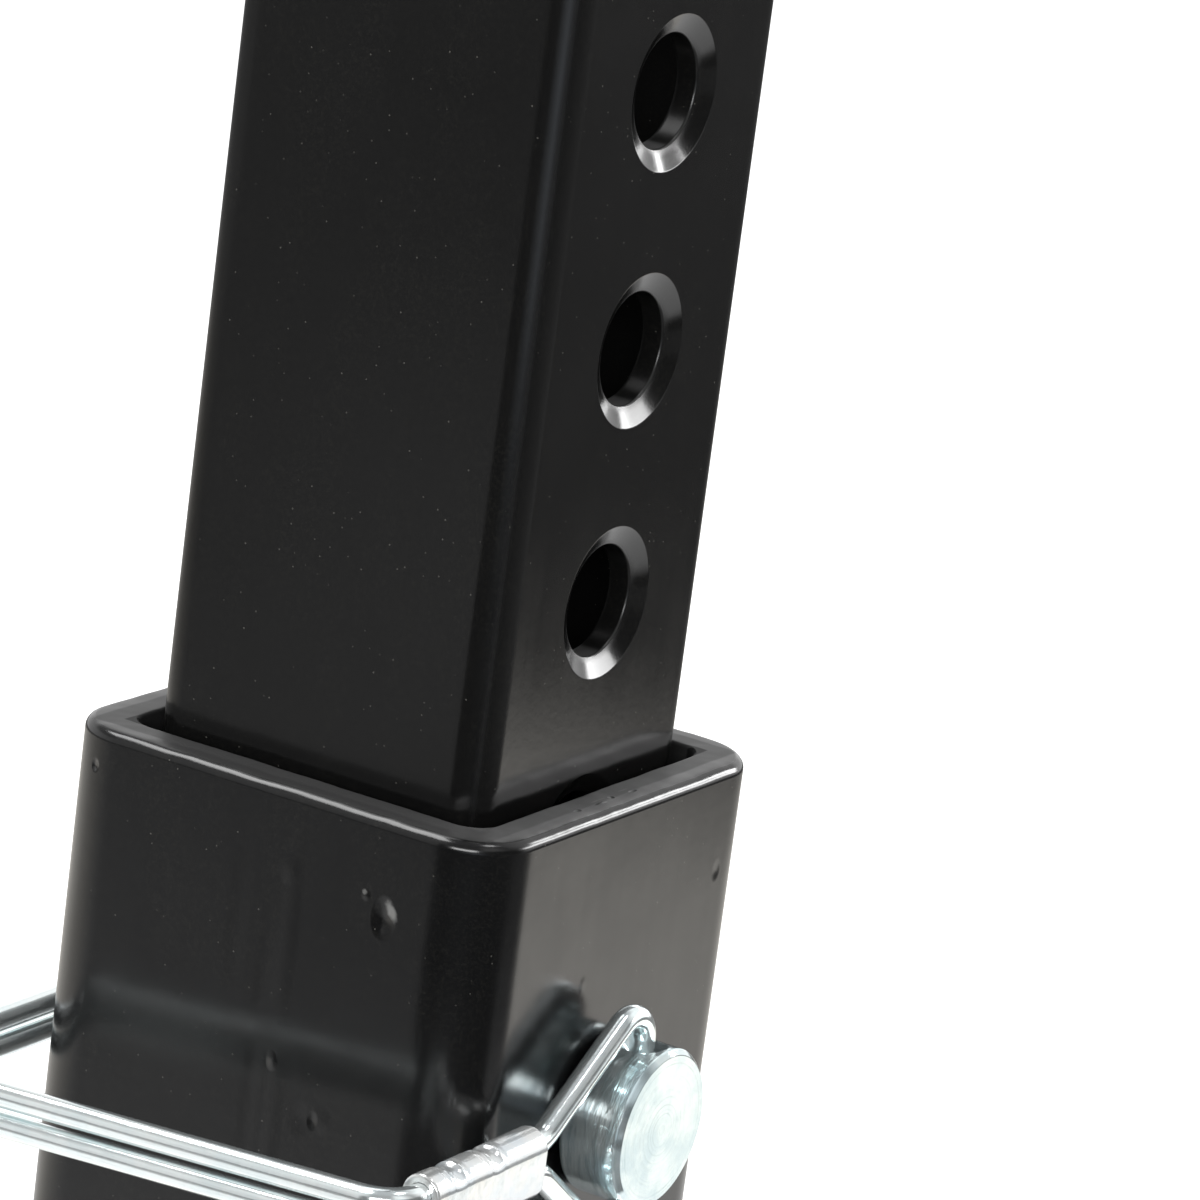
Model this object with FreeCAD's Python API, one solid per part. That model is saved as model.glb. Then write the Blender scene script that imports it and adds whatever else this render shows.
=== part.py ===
"""Hitch receiver extender: a square tube that telescopes in a larger one, held by a wire-lock pin.

Millimetres, +Z up along the tubes, origin at the centre of the outer tube's lower end. The lock pin lies
along Y with its head on the -Y side, and its wire bail goes round the -X side of the tube to the tail.
"""
import FreeCAD, Part
import math
import os

V = FreeCAD.Vector

# Outer tube: the shank that goes into a vehicle's receiver, open at both ends
outer_side = 50.8
outer_wall = 4.76
outer_corner = 6.7
outer_bore_corner = 3.0
outer_length = 304.8
rim_round = 1.2
bore_rim_round = 0.4

# Cross hole near its lower end, for the vehicle's own hitch pin
hitch_hole_d = 16.5
hitch_hole_height = 63.5

# Inner tube: the telescoping member with a row of countersunk holes through its two Y faces
tube_play = 1.59
inner_wall = 3.2
inner_corner = 3.4
inner_bore_corner = 1.2
inner_rim_round = 0.5
hole_count = 7
hole_pitch = 25.0
hole_end_margin = 31.75
hole_count_below_pin = 2
countersink_width = 2.05
countersink_depth = 1.0

# Lock pin: turned in one piece, with a head that is drilled across for the wire
pin_d = 9.53
pin_hole_play = 0.78
pin_below_rim = 31.6
head_d = 16.2
head_length = 7.0
head_gap = 0.6
head_chamfer = 0.5
head_back_round = 0.7
tail_past_eye = 2.6
tail_chamfer = 1.4
cross_hole_play = 0.15
cross_hole_flare = 1.3

# Bail: one length of spring wire, doubled, with both ends in the head and an eye over the pin's tail
wire_d = 2.5
strand_gap = 0.45
wire_end_gap = 4.0
shoulder_bend = 3.0
ferrule_bend = 5.0
corner_bend = 3.6
front_gap = 15.15
back_gap = 3.5
ferrule_rise = 0.65
return_drop = 3.2
eye_play = 1.25
eye_rest_gap = 0.3
eye_neck_bend = 3.0
bend_to_ferrule = 0.2

# Ferrule: a short oval sleeve crimped round both strands
ferrule_length = 19.0
ferrule_wall = 0.8
ferrule_play = 0.04
ferrule_edge_round = 0.3
crimp_radius = 1.5
crimp_depth = 0.45
crimp_spacing = 6.4
crimp_from_end = 3.9

# Places and sizes that follow from the values above
inner_side = outer_side - 2 * (outer_wall + tube_play)
pin_z = outer_length - pin_below_rim
pin_hole_d = pin_d + 2 * pin_hole_play
inner_length = (hole_count - 1) * hole_pitch + 2 * hole_end_margin
inner_base_z = pin_z - hole_count_below_pin * hole_pitch - hole_end_margin
head_back_y = -outer_side / 2 - head_gap
head_face_y = head_back_y - head_length
hinge_y = head_back_y - head_length / 2
strand_pitch = wire_d + strand_gap
front_x = -outer_side / 2 - front_gap - wire_d / 2
return_y = outer_side / 2 + back_gap + wire_d / 2
tail_y = return_y + wire_d / 2 + tail_past_eye
eye_radius = pin_d / 2 + eye_play + wire_d / 2
eye_drop = eye_play - eye_rest_gap
ferrule_far_x = front_x + corner_bend + bend_to_ferrule
ferrule_mouth_x = ferrule_far_x + ferrule_length


def rounded_square(side, radius, z):
    """Face of a square with round corners, centred on the Z axis at height z."""
    half = side / 2
    flat = half - radius
    edges = []
    for quarter in range(4):
        turn = quarter * 90
        spin = FreeCAD.Rotation(V(0, 0, 1), turn)
        start = spin.multVec(V(half, -flat, 0)) + V(0, 0, z)
        end = spin.multVec(V(half, flat, 0)) + V(0, 0, z)
        centre = spin.multVec(V(flat, flat, 0)) + V(0, 0, z)
        edges.append(Part.makeLine(start, end))
        edges.append(Part.makeCircle(radius, centre, V(0, 0, 1), turn, turn + 90))
    return Part.Face(Part.Wire(edges))


def end_edges(solid, side, heights):
    """Edges of a square tube's end faces that lie on the outline of the given side."""
    found = []
    for edge in solid.Edges:
        box = edge.BoundBox
        level = any(abs(box.ZMin - z) < 1e-4 and abs(box.ZMax - z) < 1e-4 for z in heights)
        reach = max(abs(box.XMin), abs(box.XMax), abs(box.YMin), abs(box.YMax))
        if level and abs(reach - side / 2) < 1e-4:
            found.append(edge)
    return found


def square_tube(side, wall, corner, bore_corner, length, base_z, outer_round, bore_round):
    """Open square tube along Z with rounded corners and rounded end edges."""
    body = rounded_square(side, corner, base_z).extrude(V(0, 0, length))
    bore_side = side - 2 * wall
    bore = rounded_square(bore_side, bore_corner, base_z).extrude(V(0, 0, length))
    tube = body.cut(bore)
    ends = (base_z, base_z + length)
    tube = tube.makeFillet(outer_round, end_edges(tube, side, ends))
    return tube.makeFillet(bore_round, end_edges(tube, bore_side, ends))


def cross_bore(diameter, side, z):
    """Cylinder along Y, long enough to pass through a tube of the given side."""
    return Part.makeCylinder(diameter / 2, side + 2, V(0, -side / 2 - 1, z), V(0, 1, 0))


def countersink(bore_d, side, z, facing):
    """Cone that widens a bore where it breaks the Y face on the given side, -1 or 1."""
    slope = countersink_width / countersink_depth
    over = 0.5
    mouth = V(0, facing * (side / 2 + over), z)
    wide = bore_d / 2 + countersink_width + over * slope
    return Part.makeCone(wide, bore_d / 2, countersink_depth + over, mouth, V(0, -facing, 0))


def make_outer_tube():
    """Outer tube with the lock pin's bore near its rim and the hitch-pin hole near its foot."""
    tube = square_tube(outer_side, outer_wall, outer_corner, outer_bore_corner, outer_length, 0,
                       rim_round, bore_rim_round)
    cuts = [cross_bore(pin_hole_d, outer_side, pin_z),
            cross_bore(hitch_hole_d, outer_side, hitch_hole_height)]
    return tube.cut(cuts)


def make_inner_tube():
    """Inner tube with its row of holes, countersunk on both Y faces."""
    tube = square_tube(inner_side, inner_wall, inner_corner, inner_bore_corner, inner_length,
                       inner_base_z, inner_rim_round, inner_rim_round / 2)
    cuts = []
    for index in range(hole_count):
        z = inner_base_z + hole_end_margin + index * hole_pitch
        cuts.append(cross_bore(pin_hole_d, inner_side, z))
        for facing in (-1, 1):
            cuts.append(countersink(pin_hole_d, inner_side, z, facing))
    return tube.cut(cuts)


def make_lock_pin():
    """Pin with its head and tail turned about Y, drilled across the head for the wire's ends."""
    head_r = head_d / 2
    shank_r = pin_d / 2
    back_mid = head_back_round * (1 - math.sqrt(0.5))
    corners = [V(0, head_face_y, 0), V(head_r - head_chamfer, head_face_y, 0),
               V(head_r, head_face_y + head_chamfer, 0), V(head_r, head_back_y - head_back_round, 0)]
    edges = Part.makePolygon(corners).Edges
    round_end = V(head_r - head_back_round, head_back_y, 0)
    round_mid = V(head_r - back_mid, head_back_y - back_mid, 0)
    edges.append(Part.Arc(corners[-1], round_mid, round_end).toShape())
    rest = [round_end, V(shank_r, head_back_y, 0), V(shank_r, tail_y - tail_chamfer, 0),
            V(shank_r - tail_chamfer, tail_y, 0), V(0, tail_y, 0), corners[0]]
    edges.extend(Part.makePolygon(rest).Edges)
    profile = Part.Face(Part.Wire(edges))
    pin = profile.revolve(V(0, 0, 0), V(0, 1, 0), 360)
    hole_r = wire_d / 2 + cross_hole_play
    cuts = [Part.makeCylinder(hole_r, head_d + 2, V(0, hinge_y, -head_r - 1), V(0, 0, 1))]
    for up in (-1, 1):
        outside = V(0, hinge_y, up * (head_r + 0.5))
        cuts.append(Part.makeCone(hole_r + cross_hole_flare + 0.5, hole_r, cross_hole_flare + 0.5,
                                  outside, V(0, 0, -up)))
    pin = pin.cut(cuts)
    pin.translate(V(0, 0, pin_z))
    return pin


def rounded_route(points, radii):
    """Edges of a polyline whose inner corners are replaced by tangent arcs of the given radii."""
    edges = []
    last = points[0]
    for index in range(1, len(points) - 1):
        corner = points[index]
        back = (points[index - 1] - corner).normalize()
        ahead = (points[index + 1] - corner).normalize()
        half_open = back.getAngle(ahead) / 2
        reach = radii[index - 1] / math.tan(half_open)
        start = corner + back * reach
        end = corner + ahead * reach
        bisector = (back + ahead).normalize()
        middle = corner + bisector * (radii[index - 1] / math.sin(half_open) - radii[index - 1])
        edges.append(Part.makeLine(last, start))
        edges.append(Part.Arc(start, middle, end).toShape())
        last = end
    edges.append(Part.makeLine(last, points[-1]))
    return edges


def strand_route(up):
    """Edges of the upper (1) or lower (-1) half of the bail, from the head to the far side of the eye."""
    offset = up * strand_pitch / 2
    head_r = head_d / 2
    shoulder_z = up * (head_r + shoulder_bend * math.tan(math.radians(63)))
    ferrule_z = ferrule_rise + offset
    mouth_slope = math.atan2(abs(shoulder_z - ferrule_z), -ferrule_mouth_x)
    mouth_reach = ferrule_bend * math.tan(mouth_slope / 2)
    return_z = offset - return_drop
    eye_z = -eye_drop
    neck_z = return_z + up * eye_neck_bend
    neck_x = -math.sqrt((eye_radius + eye_neck_bend) ** 2 - (neck_z - eye_z) ** 2)
    bend_x = ferrule_mouth_x + mouth_reach + bend_to_ferrule / 2
    points = [V(0, hinge_y, up * wire_end_gap / 2), V(0, hinge_y, shoulder_z),
              V(bend_x, hinge_y, ferrule_z), V(front_x, hinge_y, ferrule_z),
              V(front_x, return_y, return_z), V(neck_x, return_y, return_z)]
    edges = rounded_route(points, [shoulder_bend, ferrule_bend, corner_bend, corner_bend])
    toward_neck = math.atan2(neck_z - eye_z, neck_x)
    join = V(eye_radius * math.cos(toward_neck), return_y, eye_z + eye_radius * math.sin(toward_neck))
    neck_centre = V(neck_x, return_y, neck_z)
    to_strand = V(0, 0, -up)
    to_join = (join - neck_centre).normalize()
    neck_middle = neck_centre + (to_strand + to_join).normalize() * eye_neck_bend
    edges.append(Part.Arc(points[-1], neck_middle, join).toShape())
    half_angle = toward_neck / 2
    eye_middle = V(eye_radius * math.cos(half_angle), return_y, eye_z + eye_radius * math.sin(half_angle))
    edges.append(Part.Arc(join, eye_middle, V(eye_radius, return_y, eye_z)).toShape())
    return edges


def make_wire_bail():
    """Round wire swept from its upper end in the head, round the eye, to its lower end."""
    upper = strand_route(1)
    lower = strand_route(-1)
    route = Part.Wire(Part.__sortEdges__(upper + lower))
    start = V(0, hinge_y, wire_end_gap / 2)
    section = Part.Wire(Part.makeCircle(wire_d / 2, start, V(0, 0, 1)))
    wire = route.makePipeShell([section], True, True)
    wire.translate(V(0, 0, pin_z))
    return wire


def oval_prism(height, thickness, length, x, z):
    """Solid of oval section with round top and bottom, along X from x."""
    radius = thickness / 2
    flat = height / 2 - radius
    top = V(x, hinge_y, z + flat)
    foot = V(x, hinge_y, z - flat)
    aside = V(0, radius, 0)
    up = V(0, 0, radius)
    edges = [Part.makeLine(foot + aside, top + aside),
             Part.Arc(top + aside, top + up, top - aside).toShape(),
             Part.makeLine(top - aside, foot - aside),
             Part.Arc(foot - aside, foot - up, foot + aside).toShape()]
    return Part.Face(Part.Wire(edges)).extrude(V(length, 0, 0))


def make_bail_ferrule():
    """Oval sleeve round the two strands, with a pair of crimp dents in its upper and lower edges."""
    z = pin_z + ferrule_rise
    bore_thickness = wire_d + 2 * ferrule_play
    bore_height = strand_pitch + bore_thickness
    thickness = bore_thickness + 2 * ferrule_wall
    height = bore_height + 2 * ferrule_wall
    sleeve = oval_prism(height, thickness, ferrule_length, ferrule_far_x, z)
    ends = (ferrule_far_x, ferrule_mouth_x)
    rims = [e for e in sleeve.Edges if any(abs(e.BoundBox.XMin - x) < 1e-4 and
                                           abs(e.BoundBox.XMax - x) < 1e-4 for x in ends)]
    sleeve = sleeve.makeFillet(ferrule_edge_round, rims)
    cuts = [oval_prism(bore_height, bore_thickness, ferrule_length + 2, ferrule_far_x - 1, z)]
    for index in range(2):
        x = ferrule_far_x + crimp_from_end + index * crimp_spacing
        for up in (-1, 1):
            axis_z = z + up * (height / 2 + crimp_radius - crimp_depth)
            start = V(x, hinge_y - thickness / 2 - 1, axis_z)
            cuts.append(Part.makeCylinder(crimp_radius, thickness + 2, start, V(0, 1, 0)))
    return sleeve.cut(cuts)


def main():
    """Build each piece and write it as a STEP file named after its node."""
    os.makedirs("parts", exist_ok=True)
    pieces = {
        "outer_tube": make_outer_tube(),
        "inner_tube": make_inner_tube(),
        "lock_pin": make_lock_pin(),
        "wire_bail": make_wire_bail(),
        "bail_ferrule": make_bail_ferrule(),
    }
    for name, shape in pieces.items():
        solids = shape.Solids
        print(name, len(solids), "solid", shape.isValid(), round(shape.Volume, 1), "mm3")
        shape.exportStep(os.path.join("parts", name + ".step"))


main()
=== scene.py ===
"""Dressed scene of a hitch receiver extender.

A square bar telescopes in a larger square sleeve. A turned lock pin goes through both, and a doubled wire
bail reaches from its head round the sleeve to its tail. Sizes in the classes are millimetres in the frame of
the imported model: +Z up along the tubes, the origin at the middle of the sleeve's lower end.
"""
import logging
import math
from dataclasses import dataclass, field
from enum import Enum
from functools import reduce
from typing import Optional, Sequence, Union

import bpy
from mathutils import Matrix, Quaternion, Vector, noise


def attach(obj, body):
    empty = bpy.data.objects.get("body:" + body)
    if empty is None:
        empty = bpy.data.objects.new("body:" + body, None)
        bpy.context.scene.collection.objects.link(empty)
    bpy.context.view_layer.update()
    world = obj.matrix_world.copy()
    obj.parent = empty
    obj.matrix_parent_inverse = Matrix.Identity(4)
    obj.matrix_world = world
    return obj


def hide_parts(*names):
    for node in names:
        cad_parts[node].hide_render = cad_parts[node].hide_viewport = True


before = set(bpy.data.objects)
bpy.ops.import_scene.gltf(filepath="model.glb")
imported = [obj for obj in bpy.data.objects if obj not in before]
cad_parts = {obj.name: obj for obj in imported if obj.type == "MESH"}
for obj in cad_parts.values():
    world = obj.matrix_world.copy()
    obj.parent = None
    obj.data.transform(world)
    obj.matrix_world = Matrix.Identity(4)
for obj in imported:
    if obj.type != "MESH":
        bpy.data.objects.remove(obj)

LOG = logging.getLogger("extender")
MM = 0.001
QUARTER = math.pi / 2
ALONG_Y = Vector((0.0, 1.0, 0.0))
ALONG_Z = Vector((0.0, 0.0, 1.0))
Piece = bpy.types.Object
Material = bpy.types.Material
Socket = bpy.types.NodeSocket
Operand = Union[float, Socket]
Pair = tuple[float, float]
Point = tuple[float, float, float]


class Slot(Enum):
    """Material slots of the record that the pieces take their finish from."""

    SLEEVE = "gloss_black_coat"
    BAR = "satin_black_coat"
    PIN = "zinc_pin"
    WIRE = "zinc_wire"
    CRIMP = "zinc_ferrule"


class Marks(Enum):
    """What the tool that shaped a plated piece left on its surface."""

    TURNED = "rings about the pin's axis"
    DRAWN = "lines along the wire"
    PRESSED = "a soft unevenness of pressed sheet"


class Graph:
    """A node tree under construction, with short calls for the nodes that the finishes share."""

    def __init__(self, tree: bpy.types.NodeTree) -> None:
        """Start on a node tree and empty it."""
        self.tree = tree
        self.tree.nodes.clear()

    def add(self, kind: str, values: Optional[dict[Union[str, int], object]] = None,
            **settings: object) -> bpy.types.Node:
        """Add one node.

        Args:
            kind: the node's type name.
            values: numbers, colours of three numbers, or sockets for its inputs, by name or index.
            settings: attributes of the node, such as operation.

        Returns:
            The new node.
        """
        node = self.tree.nodes.new(kind)
        for key, value in settings.items():
            setattr(node, key, value)
        for key, value in (values or {}).items():
            target = node.inputs[key]
            if isinstance(value, bpy.types.NodeSocket):
                self.tree.links.new(value, target)
            else:
                target.default_value = (*value, 1.0) if target.type == "RGBA" else value
        return node

    def math(self, operation: str, *operands: Operand) -> Socket:
        """Work out a number from up to three operands and return its socket."""
        return self.add("ShaderNodeMath", dict(enumerate(operands)), operation=operation).outputs[0]

    def total(self, terms: Sequence[Socket]) -> Socket:
        """Add up several sockets and return the sum's socket."""
        return reduce(lambda done, term: self.math("ADD", done, term), terms)

    def weighed(self, *terms: tuple[Socket, float]) -> Socket:
        """Add up several sockets, each times its own weight, and return the sum's socket."""
        return self.total([self.math("MULTIPLY", term, weight) for term, weight in terms])

    def ramp(self, value: Operand, low: float, high: float, start: float = 0.0, end: float = 1.0) -> Socket:
        """Turn a number smoothly from start, where it is below low, to end, where it is above high."""
        limits = {"Value": value, "From Min": low, "From Max": high, "To Min": start, "To Max": end}
        return self.add("ShaderNodeMapRange", limits, interpolation_type="SMOOTHSTEP").outputs["Result"]

    def noise(self, vector: Socket, size: float, detail: float = 2.0, rough: float = 0.5) -> Socket:
        """Sample a noise from 0 to 1, with features of a size, finer layers and how strong those are."""
        values = {"Vector": vector, "Scale": 1.0 / size, "Detail": detail, "Roughness": rough}
        return self.add("ShaderNodeTexNoise", values).outputs["Fac"]

    def stretch(self, vector: Socket, scale: Point, move: Point = (0.0, 0.0, 0.0)) -> Socket:
        """Scale a vector, then move it, and return the result's socket."""
        return self.add("ShaderNodeMapping", {"Vector": vector, "Scale": scale, "Location": move}).outputs[0]

    def times(self, vector: Socket, factor: Operand) -> Socket:
        """Multiply a vector or a colour by a number and return the result's socket."""
        return self.add("ShaderNodeVectorMath", {0: vector, "Scale": factor}, operation="SCALE").outputs[0]

    def length(self, vector: Socket) -> Socket:
        """Return the socket of a vector's length."""
        return self.add("ShaderNodeVectorMath", {0: vector}, operation="LENGTH").outputs["Value"]

    def parts(self, vector: Socket) -> Sequence[Socket]:
        """Split a vector and return the sockets of its X, Y and Z."""
        return self.add("ShaderNodeSeparateXYZ", {0: vector}).outputs

    def joined(self, *parts: Operand) -> Socket:
        """Join three numbers and return the vector's socket."""
        return self.add("ShaderNodeCombineXYZ", dict(enumerate(parts))).outputs[0]

    def mix(self, share: Operand, first: object, second: object) -> Socket:
        """Mix two colours and return the result's socket."""
        return self.add("ShaderNodeMix", {0: share, 6: first, 7: second}, data_type="RGBA").outputs[2]

    def split(self, chooser: Socket, first: bpy.types.Node, second: bpy.types.Node) -> Socket:
        """Show the second shader where the chooser is 1, else the first, and return the result's socket."""
        inputs = {0: chooser, 1: first.outputs[0], 2: second.outputs[0]}
        return self.add("ShaderNodeMixShader", inputs).outputs[0]


class Surface(Graph):
    """The graph of a material under construction; its place is object coordinates in millimetres."""

    def __init__(self, name: str, origin: Point = (0.0, 0.0, 0.0)) -> None:
        """Make the material.

        Args:
            name: its name.
            origin: where its place is counted from, in millimetres.
        """
        self.material = bpy.data.materials.new(name)
        self.material.use_nodes = True
        super().__init__(self.material.node_tree)
        coords = self.add("ShaderNodeTexCoord").outputs["Object"]
        self.place = self.stretch(coords, (1.0 / MM,) * 3, tuple(-value for value in origin))

    def away(self, place: Socket, centre: Point, reach: Point) -> Socket:
        """Build a place's distance from a mark's middle, 1 where the mark's reach along X, Y and Z ends."""
        scale, move = zip(*((1.0 / size, -at / size) for at, size in zip(centre, reach)))
        return self.length(self.stretch(place, scale, move))

    def finish(self, height: Socket, values: dict[str, object]) -> Material:
        """Close the material.

        Args:
            height: the height of the surface's fine forms in millimetres.
            values: the surface's colour, roughness and the like, by the names of the inputs.

        Returns:
            The material.
        """
        bump = self.add("ShaderNodeBump", {"Strength": 1.0, "Distance": MM, "Height": height})
        shader = self.add("ShaderNodeBsdfPrincipled", {**values, "Normal": bump.outputs["Normal"]})
        self.add("ShaderNodeOutputMaterial", {"Surface": shader.outputs["BSDF"]})
        return self.material


@dataclass(frozen=True)
class Dent:
    """A small mark in a coated face: its middle, its reach on X, Y and Z, its depth, negative if raised."""

    centre: Point
    reach: Point
    depth: float


@dataclass(frozen=True)
class RubAndPaintedGlint:
    """A pale mark, for wear and for painted highlights: its middle, its reach on X, Y and Z, its lean about X
    in degrees, how pale it is.
    """

    centre: Point
    reach: Point
    lean: float
    strength: float


@dataclass(frozen=True)
class BlackCoat:
    """Black powder coat on steel.

    Attributes:
        sheen: roughness where the coat lies smoothest and where it is dullest.
        peel_size, peel_depth: size and height of the coat's soft waves.
        draw_depth: height of the tube's draw lines that show through.
        inside: half the width of the tube's bore, where the coat is dull.
        bore_border, hole_border: how far out of the bore the dullness of each starts and stops to fade.
        gloss_border: how far inwards of where the gloss is full it starts and stops to rise.
        sawn_border: from and to which share of the normal along Z a face counts as a sawn end face.
        film_sizes: sizes of the film's fine patches and of the wide ones that they gather in.
        ragged_size, ragged_reach: size and reach of the raggedness round a pale mark, of wear and of painted
            highlight alike.
        hole_depth: how far out of the bore the cross holes' walls are without gloss.
        full_gloss, hole_gloss: how much the whole coat and the cross holes' walls mirror.
        bore_dullness, hole_dullness, sawn_dullness: roughness added in the bore, in the cross holes and on
            the sawn end faces, where the coat is thin.
        speck_radius, speck_strength: those of the smallest or faintest speck of dust and of the largest.
    """

    name: str
    colour: Point
    sheen: Pair
    peel_size: float
    peel_depth: float
    grain_depth: float
    draw_depth: float
    dust_spacing: float
    inside: float
    hole_depth: float = 0.0
    dents: tuple[Dent, ...] = ()
    rubs_and_painted_glints: tuple[RubAndPaintedGlint, ...] = ()
    grain_size: float = 0.3
    line_width: float = 1.6
    patch_size: float = 9.0
    full_gloss: float = 0.5
    hole_gloss: float = 0.1
    bore_dullness: float = 0.55
    hole_dullness: float = 0.15
    sawn_dullness: float = 0.2
    sawn_colour: Point = (0.034, 0.034, 0.034)
    film_colour: Point = (0.0080, 0.0078, 0.0070)
    speck_colour: Point = (0.22, 0.215, 0.19)
    speck_radius: Pair = (0.025, 0.08)
    speck_strength: Pair = (0.03, 0.30)
    # Colour of the pale marks: worn places on the rim, and a highlight painted into a ding.
    rub_and_glint_colour: Point = (0.17, 0.17, 0.165)
    bore_border: Pair = (0.05, 0.3)
    hole_border: Pair = (2.2, 2.6)
    gloss_border: Pair = (0.3, 0.15)
    sawn_border: Pair = (0.93, 0.995)
    film_sizes: Pair = (0.35, 5.0)
    ragged_size: float = 0.5
    ragged_reach: float = 0.8

    def build(self) -> Material:
        """Build the material.

        Returns:
            The material.
        """
        on = Surface(self.name)
        waves = on.noise(on.place, self.peel_size)
        grain = on.noise(on.place, self.grain_size, rough=0.6)
        lines = on.noise(on.stretch(on.place, (1.0, 1.0, 0.02)), self.line_width)
        patches = on.noise(on.place, self.patch_size)
        heights = [on.weighed((waves, self.peel_depth), (grain, self.grain_depth), (lines, self.draw_depth))]
        for dent in self.dents:
            heights.append(on.ramp(on.away(on.place, dent.centre, dent.reach), 0.0, 1.0, -dent.depth, 0.0))
        facing = on.parts(on.add("ShaderNodeNewGeometry").outputs["Normal"])
        sawn = on.ramp(on.math("ABSOLUTE", facing["Z"]), *self.sawn_border)
        sheen = on.ramp(on.weighed((patches, 0.7), (lines, 0.3)), 0.3, 0.7, *self.sheen)
        rough = on.total([sheen, on.math("MULTIPLY", sawn, self.sawn_dullness), self.inner_walls(on)])
        tint = on.mix(self.film(on), self.colour, self.film_colour)
        tint = on.mix(sawn, tint, self.sawn_colour)
        tint = on.mix(self.specks(on), tint, self.speck_colour)
        # Pale marks: worn places, and a painted highlight in a ding on the sleeve's face.
        tint = on.mix(self.rub_and_glint_mask(on), tint, self.rub_and_glint_colour)
        gloss = on.math("MAXIMUM", self.gloss(on), on.math("MULTIPLY", sawn, self.full_gloss))
        return on.finish(on.total(heights), {"Base Color": tint, "Roughness": rough, "IOR": 1.5,
                                             "Specular IOR Level": gloss})

    def from_middle(self, on: Surface) -> Socket:
        """Build the greater one of a place's distances from the tube's two middle planes."""
        parts = on.parts(on.place)
        return on.math("MAXIMUM", *(on.math("ABSOLUTE", parts[letter]) for letter in "XY"))

    def gloss(self, on: Surface) -> Socket:
        """Build how much the coat mirrors: fully on the faces, faintly on the walls of the cross holes."""
        low, high = (self.inside + self.hole_depth - inner for inner in self.gloss_border)
        return on.ramp(self.from_middle(on), low, high, self.hole_gloss, self.full_gloss)

    def inner_walls(self, on: Surface) -> Socket:
        """Build how much duller the coat is inside the tube and in its cross holes.

        Args:
            on: the material's graph.

        Returns:
            The added roughness's socket.
        """
        out = self.from_middle(on)
        walls = ((self.bore_border, self.bore_dullness), (self.hole_border, self.hole_dullness))
        return on.total([on.ramp(out, self.inside + low, self.inside + high, dullness, 0.0)
                         for (low, high), dullness in walls])

    def film(self, on: Surface) -> Socket:
        """Build the mask of the thin film of dust that lies in fine patches on the coat.

        Args:
            on: the material's graph.

        Returns:
            The mask's socket, 1 where the film is thickest.
        """
        small, large = self.film_sizes
        fine = on.noise(on.place, small, 3.0, 0.75)
        wide = on.noise(on.stretch(on.place, (1.0, 1.0, 0.25)), large)
        return on.math("MULTIPLY", on.ramp(fine, 0.45, 0.72), on.ramp(wide, 0.3, 0.7, 0.35, 1.0))

    def rub_and_glint_mask(self, on: Surface) -> Operand:
        """Build the mask of the pale marks, worn places and painted highlights, with ragged borders.

        Args:
            on: the material's graph.

        Returns:
            The mask's socket, 1 where the coat is pale, or 0 where there is no such place.
        """
        ragged = on.math("MULTIPLY", on.noise(on.place, self.ragged_size, rough=0.6), self.ragged_reach)
        pale = 0.0
        for pale_mark in self.rubs_and_painted_glints:
            about = {"Vector": on.place, "Center": pale_mark.centre, "Angle": math.radians(pale_mark.lean)}
            leaning = on.add("ShaderNodeVectorRotate", about, rotation_type="X_AXIS").outputs["Vector"]
            border = on.math("ADD", on.away(leaning, pale_mark.centre, pale_mark.reach), ragged)
            pale = on.math("MAXIMUM", pale, on.ramp(border, 0.7, 1.5, pale_mark.strength, 0.0))
        return pale

    def specks(self, on: Surface) -> Socket:
        """Build the mask of the dust specks: one in each cell, of its own size and strength.

        Args:
            on: the material's graph.

        Returns:
            The mask's socket, above 0 on a speck.
        """
        density = 1.0 / self.dust_spacing
        cells = on.add("ShaderNodeTexVoronoi", {"Vector": on.place, "Scale": density, "Randomness": 1.0})
        chance = on.add("ShaderNodeSeparateColor", {0: cells.outputs["Color"]}).outputs
        size = on.math("MULTIPLY", on.ramp(chance[0], 0.0, 1.0, *self.speck_radius), density)
        speck = on.math("LESS_THAN", cells.outputs["Distance"], size)
        return on.math("MULTIPLY", speck, on.ramp(chance[1], 0.3, 1.0, *self.speck_strength))


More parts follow.
